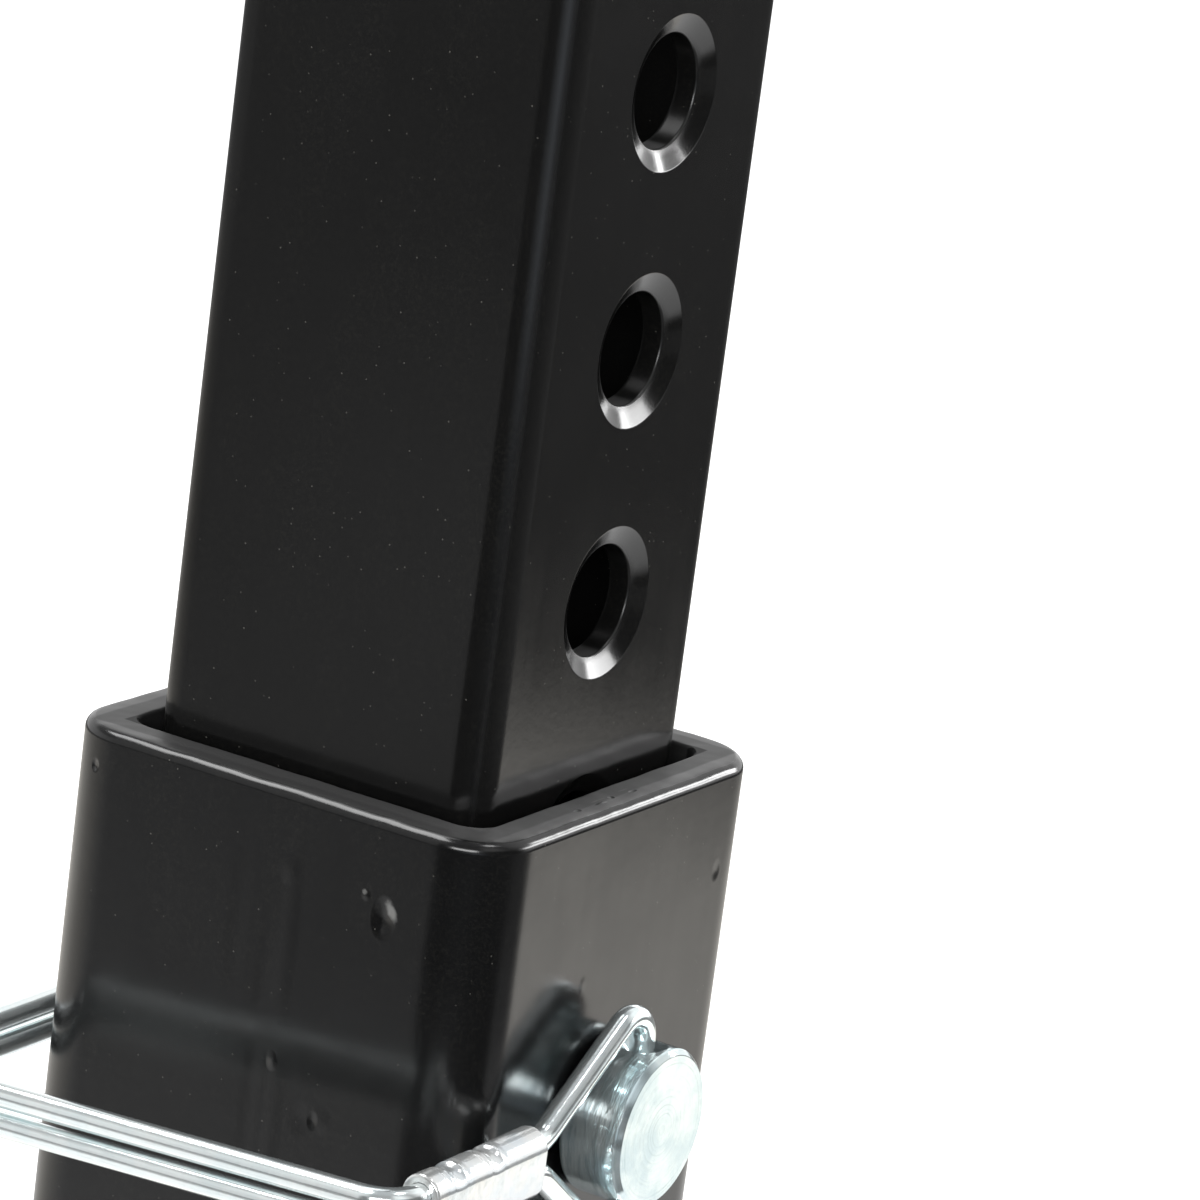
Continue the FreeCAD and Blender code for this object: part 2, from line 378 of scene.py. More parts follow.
@dataclass(frozen=True)
class ZincPlate:
    """Bright zinc plate with the marks of the tool below it.

    Attributes:
        drift_colour: the bluish or yellowish colour that it drifts to.
        sheen: roughness of the brightest places and of the dullest ones.
        streak: how strongly the tool's marks show as darker streaks.
        metallic: share of the mirror-like metal; the rest is the plate's milky film.
        axis: a point on the axis of turned marks, which run about Y.
        turned_side: radius of the turned side, which is rougher than the face; its colour is painted
            brighter.
            side_painted_light_gain, side_marks: how many times brighter that side's colour is painted, as a
                painted highlight, and its marks stronger.
        side_border: how far inwards of its radius the side starts and stops to show.
        drift_size, pit_size: sizes of the soft waves and of the pits.
        ring_size, turn_size, line_size, press_size: sizes of the marks on a turned face, on a turned side, on
            drawn wire and on pressed sheet.
        drift_depth: height of the soft waves that go with the drifting colour.
    """

    name: str
    colour: Point
    drift_colour: Point
    sheen: Pair
    marks: Marks
    mark_depth: float
    streak: float
    metallic: float
    axis: Point = (0.0, 0.0, 0.0)
    turned_side: float = 8.1
    side_painted_light_gain: float = 1.38
    side_marks: float = 2.4
    pit_depth: float = 0.002
    drift_depth: float = 0.02
    streak_colour: Point = (0.26, 0.36, 0.37)
    side_border: Pair = (0.2, 0.05)
    drift_size: float = 4.0
    pit_size: float = 0.25
    ring_size: float = 0.3
    turn_size: float = 0.6
    line_size: float = 0.22
    press_size: float = 1.1

    def build(self) -> Material:
        """Build the material.

        Returns:
            The material.
        """
        on = Surface(self.name, self.axis)
        drift = on.noise(on.place, self.drift_size, 3.0, 0.6)
        pits = on.noise(on.place, self.pit_size, 3.0, 0.6)
        marks = self.tool_marks(on)
        height = on.weighed((marks, self.mark_depth), (pits, self.pit_depth), (drift, self.drift_depth))
        tint = on.mix(on.ramp(drift, 0.35, 0.7), self.colour, self.drift_colour)
        # Painted light: the turned side's colour is multiplied brighter than the face's, standing in for
        # light falling on it.
        if self.marks is Marks.TURNED:
            tint = on.times(tint, self.on_side(on, 1.0, self.side_painted_light_gain))
        tint = on.mix(on.ramp(marks, 0.52, 0.68, 0.0, self.streak), tint, self.streak_colour)
        rough = on.ramp(on.weighed((marks, 0.6), (pits, 0.4)), 0.3, 0.75, *self.sheen)
        return on.finish(height, {"Base Color": tint, "Metallic": self.metallic, "Roughness": rough})

    def from_axis(self, on: Surface) -> Socket:
        """Build the distance from the axis of the turned marks."""
        parts = on.parts(on.place)
        return on.math("SQRT", on.total([on.math("POWER", parts[letter], 2.0) for letter in "XZ"]))

    def on_side(self, on: Surface, elsewhere: float, there: float) -> Socket:
        """Build a number that differs on the turned side from what it is elsewhere."""
        low, high = (self.turned_side - inner for inner in self.side_border)
        return on.ramp(self.from_axis(on), low, high, elsewhere, there)

    def tool_marks(self, on: Surface) -> Socket:
        """Build the pattern of the tool marks.

        Args:
            on: the material's graph.

        Returns:
            The pattern's socket, from 0 to 1.
        """
        if self.marks is Marks.TURNED:
            around = on.noise(on.stretch(on.place, (0.16, 1.0, 0.16)), self.turn_size, 3.0, 0.6)
            rings = on.noise(on.joined(self.from_axis(on), 0.0, 0.0), self.ring_size, 3.0, 0.7)
            side = self.on_side(on, 0.0, self.side_marks)
            more = on.math("MULTIPLY", on.math("SUBTRACT", around, 0.5), side)
            return on.math("ADD", on.weighed((rings, 0.7), (around, 0.3)), more)
        if self.marks is Marks.DRAWN:
            way = on.add("ShaderNodeAttribute", attribute_name="wire_way").outputs["Vector"]
            return on.noise(on.stretch(way, (1.0, 1.0, 0.05)), self.line_size, 3.0, 0.7)
        return on.noise(on.place, self.press_size, rough=0.6)


def new_object(name: str, mesh: bpy.types.Mesh) -> Piece:
    """Put a mesh into the scene as an object at the origin.

    Args:
        name: the object's name.
        mesh: the mesh.

    Returns:
        The object.
    """
    piece = bpy.data.objects.new(name, mesh)
    bpy.context.scene.collection.objects.link(piece)
    return piece


def settled(piece: Piece) -> Piece:
    """Turn an object's modifiers into plain mesh.

    Args:
        piece: the object.

    Returns:
        The same object.
    """
    bpy.context.view_layer.update()
    graph = bpy.context.evaluated_depsgraph_get()
    mesh = bpy.data.meshes.new_from_object(piece.evaluated_get(graph), preserve_all_data_layers=True,
                                           depsgraph=graph)
    piece.modifiers.clear()
    piece.data = mesh
    return piece


def even_normals(piece: Piece) -> Piece:
    """Weight the normals by area, so that flat faces stay flat beside small rounds.

    Args:
        piece: the object.

    Returns:
        The same object.
    """
    weigh = piece.modifiers.new("weigh", "WEIGHTED_NORMAL")
    weigh.keep_sharp = True
    weigh.weight = 90
    return settled(piece)


def dressed(piece: Piece, angle: float, node: str, body: str, slot: Slot, even: bool = False) -> Piece:
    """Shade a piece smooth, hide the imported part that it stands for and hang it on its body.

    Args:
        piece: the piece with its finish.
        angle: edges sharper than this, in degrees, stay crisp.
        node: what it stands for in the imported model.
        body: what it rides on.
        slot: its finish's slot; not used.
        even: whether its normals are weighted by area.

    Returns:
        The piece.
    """
    piece.data.shade_smooth()
    piece.data.set_sharp_from_angle(angle=math.radians(angle))
    if even:
        piece = even_normals(piece)
    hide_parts(node)
    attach(piece, body)
    return piece


def ring_skin(name: str, rings: Sequence[Sequence[Vector]], loops: bool) -> Piece:
    """Build a skin over a row of closed rings that have as many points each.

    Args:
        name: the object's name.
        rings: the rings, in millimetres, counter-clockwise seen from the row's end.
        loops: whether the last ring is joined to the first; else both are closed with faces.

    Returns:
        The object.
    """
    count = len(rings[0])
    points = [point * MM for ring in rings for point in ring]
    faces: list[tuple[int, ...]] = []
    for row in range(len(rings) if loops else len(rings) - 1):
        low, high = row * count, (row + 1) % len(rings) * count
        for step in range(count):
            ahead = (step + 1) % count
            faces.append((low + step, low + ahead, high + ahead, high + step))
    if not loops:
        faces.append(tuple(reversed(range(count))))
        faces.append(tuple(range((len(rings) - 1) * count, len(rings) * count)))
    mesh = bpy.data.meshes.new(name)
    mesh.from_pydata(points, [], faces)
    mesh.validate()
    return new_object(name, mesh)


def lathe(name: str, profile: Sequence[Pair], origin: Vector, axis: Vector, steps: int) -> Piece:
    """Turn a profile about an axis into a closed body.

    Args:
        name: the object's name.
        profile: (distance along the axis, radius) from one end to the other; the ends are closed flat.
        origin: where the axis starts.
        axis: the axis's direction, of length 1.
        steps: faces round the body.

    Returns:
        The object.
    """
    aside = axis.orthogonal().normalized()
    across = axis.cross(aside)
    turns = [step * math.tau / steps for step in range(steps)]
    spokes = [aside * math.cos(turn) + across * math.sin(turn) for turn in turns]
    rings = [[origin + axis * distance + spoke * radius for spoke in spokes] for distance, radius in profile]
    return ring_skin(name, rings, loops=False)


def rounded(centre: Pair, radius: float, start: float, end: float, steps: int) -> list[Pair]:
    """Give steps + 1 points on an arc of a profile, from one angle in degrees to another."""
    turns = [math.radians(start + (end - start) * step / steps) for step in range(steps + 1)]
    return [(centre[0] + radius * math.cos(turn), centre[1] + radius * math.sin(turn)) for turn in turns]


class TreeInput(Enum):
    """Kinds of input that the geometry trees take."""

    GEOMETRY = "NodeSocketGeometry"
    LENGTH = "NodeSocketFloat"
    COUNT = "NodeSocketInt"
    OBJECT = "NodeSocketObject"
    MATERIAL = "NodeSocketMaterial"


class GeometryTree:
    """A Geometry Nodes tree with named inputs, run once on an object and turned into plain mesh."""

    def __init__(self, name: str, inputs: dict[str, TreeInput]) -> None:
        """Make the tree and its inputs.

        Args:
            name: the tree's name.
            inputs: the inputs after the geometry, with their kinds.
        """
        self.tree = bpy.data.node_groups.new(name, "GeometryNodeTree")
        self.graph = Graph(self.tree)
        self.identifiers: dict[str, str] = {}
        for label, kind in {"Geometry": TreeInput.GEOMETRY, **inputs}.items():
            item = self.tree.interface.new_socket(label, in_out="INPUT", socket_type=kind.value)
            self.identifiers[label] = item.identifier
        self.tree.interface.new_socket("Geometry", in_out="OUTPUT", socket_type=TreeInput.GEOMETRY.value)
        self.given = self.graph.add("NodeGroupInput").outputs

    def end(self, geometry: Socket) -> None:
        """Close the tree: instances become mesh and take the material.

        Args:
            geometry: the finished geometry.
        """
        real = self.graph.add("GeometryNodeRealizeInstances", {0: geometry})
        dressed = self.graph.add("GeometryNodeSetMaterial", {"Geometry": real.outputs[0],
                                                             "Material": self.given["Material"]})
        self.graph.add("NodeGroupOutput", {0: dressed.outputs[0]})

    def run(self, piece: Piece, **values: object) -> Piece:
        """Run the tree on an object.

        Args:
            piece: the object that gives the geometry.
            values: the inputs' values; an underscore in a name stands for a space.

        Returns:
            The object as plain mesh.
        """
        modifier = piece.modifiers.new(self.tree.name, "NODES")
        modifier.node_group = self.tree
        for label, value in values.items():
            modifier[self.identifiers[label.replace("_", " ").capitalize()]] = value
        piece.update_tag()
        return settled(piece)


class BoreRow(GeometryTree):
    """The tree that cuts a row of equal bores through a piece; its cutter stands at the first bore."""

    def __init__(self) -> None:
        """Build the tree."""
        super().__init__("bore_row", {"Cutter": TreeInput.OBJECT, "Count": TreeInput.COUNT,
                                      "Pitch": TreeInput.LENGTH, "Material": TreeInput.MATERIAL})
        graph, given = self.graph, self.given
        line = {"Count": given["Count"], "Start Location": (0.0, 0.0, 0.0),
                "Offset": graph.joined(0.0, 0.0, given["Pitch"])}
        row = graph.add("GeometryNodeMeshLine", line, mode="OFFSET")
        cutter = graph.add("GeometryNodeObjectInfo", {"Object": given["Cutter"]}, transform_space="ORIGINAL")
        copies = graph.add("GeometryNodeInstanceOnPoints", {"Points": row.outputs[0],
                                                            "Instance": cutter.outputs["Geometry"]})
        real = graph.add("GeometryNodeRealizeInstances", {0: copies.outputs[0]})
        cut = graph.add("GeometryNodeMeshBoolean", {"Mesh 1": given["Geometry"], "Mesh 2": real.outputs[0]},
                        operation="DIFFERENCE", solver="EXACT")
        self.end(cut.outputs["Mesh"])

    def cut(self, piece: Piece, side: list[Pair], origin: Point, finish: Material,
            axis: Vector = ALONG_Y, steps: int = 96, count: int = 1, pitch: float = 0.0) -> Piece:
        """Cut a row of bores that go right through a piece and are alike at both ends.

        Args:
            piece: the piece.
            side: (distance along the axis, radius) of one end of the cutter, from the middle outwards.
            origin: the middle of the first bore.
            finish: the finish that the piece takes.
            axis: the bores' direction.
            steps: faces round a bore.
            count: how many bores the row has.
            pitch: how far apart they are along Z.

        Returns:
            The piece.
        """
        profile = [(-at, radius) for at, radius in reversed(side)] + side
        cutter = lathe("cutter", profile, Vector(origin), axis, steps)
        piece = self.run(piece, cutter=cutter, count=count, pitch=pitch * MM, material=finish)
        bpy.data.objects.remove(cutter)
        return piece


class BentWire(GeometryTree):
    """The tree that bends a wire along a route of straight runs.

    Its geometry is a line of edges whose points carry bend_radius. The wire that it makes carries wire_way,
    the place on its surface as (across, across, along) in millimetres.
    """

    def __init__(self) -> None:
        """Build the tree."""
        super().__init__("bent_wire", {"Thickness": TreeInput.LENGTH, "Bend steps": TreeInput.COUNT,
                                       "Sides": TreeInput.COUNT, "Material": TreeInput.MATERIAL})
        graph, given = self.graph, self.given
        line = graph.add("GeometryNodeMeshToCurve", {"Mesh": given["Geometry"]})
        bend = graph.add("GeometryNodeInputNamedAttribute", {"Name": "bend_radius"}, data_type="FLOAT")
        turns = {"Curve": line.outputs[0], "Radius": bend.outputs["Attribute"], "Limit Radius": True,
                 "Count": given["Bend steps"]}
        route = graph.add("GeometryNodeFilletCurve", turns, mode="POLY")
        half = graph.math("MULTIPLY", given["Thickness"], 0.5)
        circle = {"Radius": half, "Resolution": given["Sides"]}
        section = graph.add("GeometryNodeCurvePrimitiveCircle", circle, mode="RADIUS")
        along = graph.add("GeometryNodeSplineParameter").outputs["Length"]
        spot = graph.add("GeometryNodeInputPosition").outputs[0]
        marked, length = self.carry(route.outputs[0], "FLOAT", along)
        ringed, across = self.carry(section.outputs[0], "VECTOR", spot)
        sweep = {"Curve": marked, "Profile Curve": ringed, "Fill Caps": True}
        swept = graph.add("GeometryNodeCurveToMesh", sweep)
        parts = graph.parts(across)
        way = graph.times(graph.joined(parts[0], parts[1], length), 1.0 / MM)
        stored = graph.add("GeometryNodeStoreNamedAttribute",
                           {"Geometry": swept.outputs[0], "Name": "wire_way", "Value": way},
                           data_type="FLOAT_VECTOR", domain="POINT")
        self.end(stored.outputs[0])

    def carry(self, geometry: Socket, kind: str, value: Socket) -> tuple[Socket, Socket]:
        """Let a curve carry a value.

        Args:
            geometry: the curve.
            kind: the value's kind.
            value: the value.

        Returns:
            The sockets of the curve and of the value.
        """
        capture = self.graph.add("GeometryNodeCaptureAttribute", {0: geometry})
        capture.capture_items.new(kind, "carried")
        self.tree.links.new(value, capture.inputs[1])
        return capture.outputs[0], capture.outputs[1]


# Sizes that pieces share: the lock pin's axis, bore and head, and where the wire's ends turn in it along Y.
PIN_HEIGHT = 273.2
PIN_BORE = 11.09
PIN_HEAD = 16.2
HINGE = -29.5


@dataclass
class SquareTube:
    """An open square tube with rounded corners and rounded, slightly uneven end edges.

    Attributes:
        base: height of the lower end.
        rim, bore_rim: radii of the outer and the inner end edges.
        unevenness, setback: how far the coat's end edges wander, and how many times that they stand back.
        waves, short_share: sizes of their long and short waves, and how strong the short ones are.
        end_shares: where the rings of the end faces lie between the outer edge and the inner one.
    """

    name: str
    side: float
    wall: float
    corner: float
    bore_corner: float
    base: float
    length: float
    rim: float
    bore_rim: float
    unevenness: float
    setback: float = 0.6
    waves: Pair = (3.4, 1.2)
    short_share: float = 0.45
    flat_steps: int = 64
    corner_steps: int = 20
    rim_steps: int = 8
    wall_spans: int = 6
    end_shares: tuple[float, ...] = (0.12, 0.3, 0.5, 0.7, 0.88)

    def outline(self, side: float, radius: float, height: float) -> list[Vector]:
        """Give one ring of the tube.

        Args:
            side: the ring's width.
            radius: its corner radius.
            height: its height.

        Returns:
            The ring's points, counter-clockwise from above.
        """
        half, flat = side / 2, side / 2 - radius
        quarter = [Vector((half, -flat + 2 * flat * step / self.flat_steps, 0.0))
                   for step in range(self.flat_steps)]
        for step in range(self.corner_steps):
            turn = QUARTER * step / self.corner_steps
            quarter.append(Vector((flat + radius * math.cos(turn), flat + radius * math.sin(turn), 0.0)))
        points = []
        for turn in range(4):
            spin = Matrix.Rotation(turn * QUARTER, 3, "Z")
            points += [spin @ point + Vector((0.0, 0.0, height)) for point in quarter]
        return points

    def wander(self, point: Vector) -> float:
        """Give how far the coat's end edge stands back at a place."""
        long, short = (noise.noise(point / size) for size in self.waves)
        return self.unevenness * (self.setback + long + self.short_share * short)

    def end_ring(self, top: bool, side: float, radius: float, depth: float, share: float) -> list[Vector]:
        """Give a ring at an end of the tube.

        Args:
            top: whether it is at the upper end.
            side: the ring's width.
            radius: its corner radius.
            depth: how far within the end it lies.
            share: how much of the unevenness it has.

        Returns:
            The ring's points.
        """
        end, way = (self.base + self.length, 1.0) if top else (self.base, -1.0)
        ring = self.outline(side, radius, end - way * depth)
        for point in ring:
            point.z -= way * share * self.wander(point)
        return ring

    def end_profile(self) -> list[tuple[float, ...]]:
        """Give the rings of an end, over its outer edge, its face and its inner edge.

        Returns:
            Each ring's width, corner radius, depth within the end and share of the unevenness.
        """
        bore, edges = self.side - 2 * self.wall, []
        for side, radius, rim, inward in ((self.side, self.corner, self.rim, -1.0),
                                          (bore, self.bore_corner, self.bore_rim, 1.0)):
            edge = []
            for step in range(self.rim_steps + 1):
                turn = QUARTER * step / self.rim_steps
                shift, depth = inward * rim * (1 - math.cos(turn)), rim * (1 - math.sin(turn))
                edge.append((side + 2 * shift, radius + shift, depth, 1.0 - depth / rim))
            edges.append(edge)
        outer, inner = edges
        face = [tuple(a + (b - a) * share for a, b in zip(outer[-1], inner[-1])) for share in self.end_shares]
        return outer + face + inner[::-1]

    def shape(self) -> Piece:
        """Build the tube without its holes.

        Returns:
            The tube.
        """
        heights = [self.base + self.length * step / self.wall_spans for step in range(1, self.wall_spans)]
        bore, profile = self.side - 2 * self.wall, self.end_profile()
        rings = [self.outline(self.side, self.corner, height) for height in heights]
        rings += [self.end_ring(True, *ring) for ring in profile]
        rings += [self.outline(bore, self.bore_corner, height) for height in reversed(heights)]
        rings += [self.end_ring(False, *ring) for ring in reversed(profile)]
        foot = self.rim_steps + 1
        return ring_skin(self.name, rings[-foot:] + rings[:-foot], loops=True)


@dataclass
class Sleeve:
    """The outer tube, with its cross bores for the lock pin and for the vehicle's hitch pin.

    Attributes:
        bores: each bore's diameter and height.
        lip: radius of the coat's soft edge at a bore's mouth.
        past, flare: how far a cutter stands out of the face, and how much it widens there.
    """

    tube: SquareTube = field(default_factory=lambda: SquareTube(
        "sleeve_tube", side=50.8, wall=4.76, corner=6.7, bore_corner=3.0, base=0.0, length=304.8, rim=1.2,
        bore_rim=0.4, unevenness=0.07))
    bores: tuple[Pair, ...] = ((PIN_BORE, PIN_HEIGHT), (16.5, 63.5))
    lip: float = 0.3
    past: float = 1.0
    flare: float = 0.2

    def build(self, row: BoreRow, coat: Material) -> Piece:
        """Build and dress the sleeve.

        Args:
            row: the tree that cuts rows of bores.
            coat: its finish.

        Returns:
            The piece.
        """
        piece, half = self.tube.shape(), self.tube.side / 2
        for diameter, height in self.bores:
            side = rounded((half - self.lip, diameter / 2 + self.lip), self.lip, 270.0, 350.0, 6)
            side.append((half + self.past, side[-1][1] + self.flare))
            piece = row.cut(piece, side, (0.0, 0.0, height), coat)
        return dressed(piece, 32.0, "outer_tube", "sleeve", Slot.SLEEVE, even=True)


@dataclass
class Bar:
    """The telescoping inner tube with its row of countersunk holes.

    Attributes:
        sink_width: how much wider than the hole its countersink is, on each side.
        lip: radius of the coat's soft edge at the countersink's mouth and at its foot.
        past, flare: how far the cutter stands out of the face, and how much it widens there.
    """

    tube: SquareTube = field(default_factory=lambda: SquareTube(
        "bar_tube", side=38.1, wall=3.2, corner=3.4, bore_corner=1.2, base=191.45, length=213.5, rim=0.5,
        bore_rim=0.25, unevenness=0.03))
    bore: float = PIN_BORE
    first_hole: float = 223.2
    pitch: float = 25.0
    count: int = 7
    sink_width: float = 2.05
    sink_depth: float = 1.0
    lip: float = 0.35
    past: float = 1.0
    flare: float = 0.15

    def hole_side(self) -> list[Pair]:
        """Give the outline of one end of a hole, sunk on the face.

        Returns:
            Points as (distance from the middle, radius).
        """
        half, radius = self.tube.side / 2, self.bore / 2
        slant = math.degrees(math.atan2(self.sink_width, self.sink_depth))
        reach = self.lip * math.tan(math.radians(90.0 - slant) / 2)
        bend = self.lip * math.tan(math.radians(slant) / 2)
        mouth = (half - self.lip, radius + self.sink_width + reach)
        foot = (half - self.sink_depth - bend, radius + self.lip)
        side = rounded(foot, self.lip, 270.0, 270.0 + slant, 4)
        side += rounded(mouth, self.lip, 270.0 + slant, 352.0, 5)
        return side + [(half + self.past, side[-1][1] + self.flare)]

    def build(self, row: BoreRow, coat: Material) -> Piece:
        """Build and dress the bar.

        Args:
            row: the tree that cuts rows of bores.
            coat: its finish.

        Returns:
            The piece.
        """
        piece = row.cut(self.tube.shape(), self.hole_side(), (0.0, 0.0, self.first_hole), coat,
                        count=self.count, pitch=self.pitch)
        return dressed(piece, 32.0, "inner_tube", "bar", Slot.BAR, even=True)


@dataclass
class LockPin:
    """The turned pin, whose head is drilled across for the ends of the wire.

    Attributes:
        height: height of the pin's axis.
        face, head_back, tail: places along Y of the head's face, of its back and of the tail's end.
        soft, tail_soft: how much the edges of the chamfers round the face and the tail are softened.
        fillet: size of the corner between head and shank.
        hinge: place along Y of the cross bore.
        flare: how deep the cross bore flares at both ends.
        past: how far its cutter stands out of the head.
    """

    height: float = PIN_HEIGHT
    face: float = -33.0
    head_back: float = -26.0
    tail: float = 34.02
    diameter: float = 9.53
    head: float = PIN_HEAD
    chamfer: float = 0.5
    soft: float = 0.12
    back_round: float = 0.7
    fillet: float = 0.25
    tail_chamfer: float = 1.4
    tail_soft: Pair = (0.1, 0.15)
    hinge: float = HINGE
    cross_bore: float = 2.8
    flare: float = 1.3
    past: float = 0.4

    def profile(self) -> list[Pair]:
        """Give the pin's outline, from the head's face to the tail.

        Returns:
            Points as (place along Y, radius).
        """
        head, shank, soft, back = self.head / 2, self.diameter / 2, self.soft, self.back_round
        cone, (start, end) = self.tail - self.tail_chamfer, self.tail_soft
        return [(self.face, head - self.chamfer - soft), (self.face + soft * 0.3, head - self.chamfer),
                (self.face + self.chamfer - soft * 0.4, head - soft), (self.face + self.chamfer + soft, head),
                *rounded((self.head_back - back, head - back), back, 90.0, 0.0, 6),
                (self.head_back, shank + self.fillet), (self.head_back + self.fillet, shank),
                (cone - start, shank), (cone + start, shank - start),
                (self.tail - end, shank - self.tail_chamfer + end), (self.tail, shank - self.tail_chamfer)]

    def build(self, row: BoreRow, plate: Material) -> Piece:
        """Build and dress the pin.

        Args:
            row: the tree that cuts rows of bores.
            plate: its finish.

        Returns:
            The piece.
        """
        middle = Vector((0.0, 0.0, self.height))
        blank = lathe("lock_pin_turned", self.profile(), middle, ALONG_Y, steps=160)
        head, radius = self.head / 2, self.cross_bore / 2
        side = [(head - self.flare, radius), (head + self.past, radius + self.flare + self.past)]
        piece = row.cut(blank, side, (0.0, self.hinge, self.height), plate, axis=ALONG_Z, steps=64)
        return dressed(piece, 30.0, "lock_pin", "pin", Slot.PIN, even=True)


@dataclass
class Bail:
    """The doubled spring wire, from the pin's head round the sleeve to its eye over the pin's tail.

    Attributes:
        height: height of the pin's axis.
        hinge, back: places along Y of the strands before and behind the sleeve.
        pitch, end_gap: how far apart the strands' middles are, and the wire's ends in the head.
        shoulder, mouth_bend, corner, neck: radii of the bends at the head, where the strands meet, round the
            sleeve and before the eye.
        shoulder_turn: how far the wire turns at each shoulder, in degrees.
        front, mouth: places along X of the run past the sleeve and of where the strands meet.
        ease: how far before the mouth the bend there ends.
        rise, drop: how far above the axis the strands run in front, and how far below it behind.
        eye, eye_drop: radius of the eye, and how far below the axis its middle is.
    """

    height: float = PIN_HEIGHT
    hinge: float = HINGE
    head: float = PIN_HEAD
    thickness: float = 2.5
    pitch: float = 2.95
    end_gap: float = 4.0
    shoulder: float = 3.0
    mouth_bend: float = 5.0
    shoulder_turn: float = 126.0
    corner: float = 3.6
    front: float = -41.8
    back: float = 30.15
    rise: float = 0.65
    drop: float = 3.2
    mouth: float = -19.0
    ease: float = 0.1
    eye: float = 7.265
    eye_drop: float = 0.95
    neck: float = 3.0

    def strand(self, up: int) -> list[tuple[Vector, float]]:
        """Give one strand's corners with the radius of each bend, from the head to the eye's far side.

        Args:
            up: 1 for the upper strand, -1 for the lower one.

        Returns:
            The corners, from the axis of the pin.
        """
        offset = up * self.pitch / 2
        shoulder = up * (self.head / 2 + self.shoulder * math.tan(math.radians(self.shoulder_turn / 2)))
        level, back = self.rise + offset, offset - self.drop
        slope = math.atan2(abs(shoulder - level), -self.mouth)
        bend_x = self.mouth + self.mouth_bend * math.tan(slope / 2) + self.ease
        route = [(Vector((0.0, self.hinge, up * self.end_gap / 2)), 0.0),
                 (Vector((0.0, self.hinge, shoulder)), self.shoulder),
                 (Vector((bend_x, self.hinge, level)), self.mouth_bend),
                 (Vector((self.front, self.hinge, level)), self.corner),
                 (Vector((self.front, self.back, back)), self.corner)]
        neck_z = back + up * self.neck
        neck_x = -math.sqrt((self.eye + self.neck) ** 2 - (neck_z + self.eye_drop) ** 2)
        join = math.degrees(math.atan2(neck_z + self.eye_drop, neck_x))
        turns = rounded((neck_x, neck_z), self.neck, -up * 90.0, join - up * 180.0, 8)
        turns += rounded((0.0, -self.eye_drop), self.eye, join, 0.0, 30)[1:]
        return route + [(Vector((x, self.back, z)), 0.0) for x, z in turns]

    def build(self, bends: BentWire, plate: Material) -> Piece:
        """Build and dress the wire.

        Args:
            bends: the tree that bends a wire along a route.
            plate: its finish.

        Returns:
            The piece.
        """
        route = self.strand(1) + list(reversed(self.strand(-1)))[1:]
        raise_by = Vector((0.0, 0.0, self.height))
        mesh = bpy.data.meshes.new("bail_wire")
        mesh.from_pydata([(point + raise_by) * MM for point, _ in route],
                         [(step, step + 1) for step in range(len(route) - 1)], [])
        radii = mesh.attributes.new("bend_radius", "FLOAT", "POINT")
        radii.data.foreach_set("value", [radius * MM for _, radius in route])
        wire = bends.run(new_object("bail_wire", mesh), thickness=self.thickness * MM, bend_steps=14,
                         sides=32, material=plate)
        return dressed(wire, 60.0, "wire_bail", "bail", Slot.WIRE)


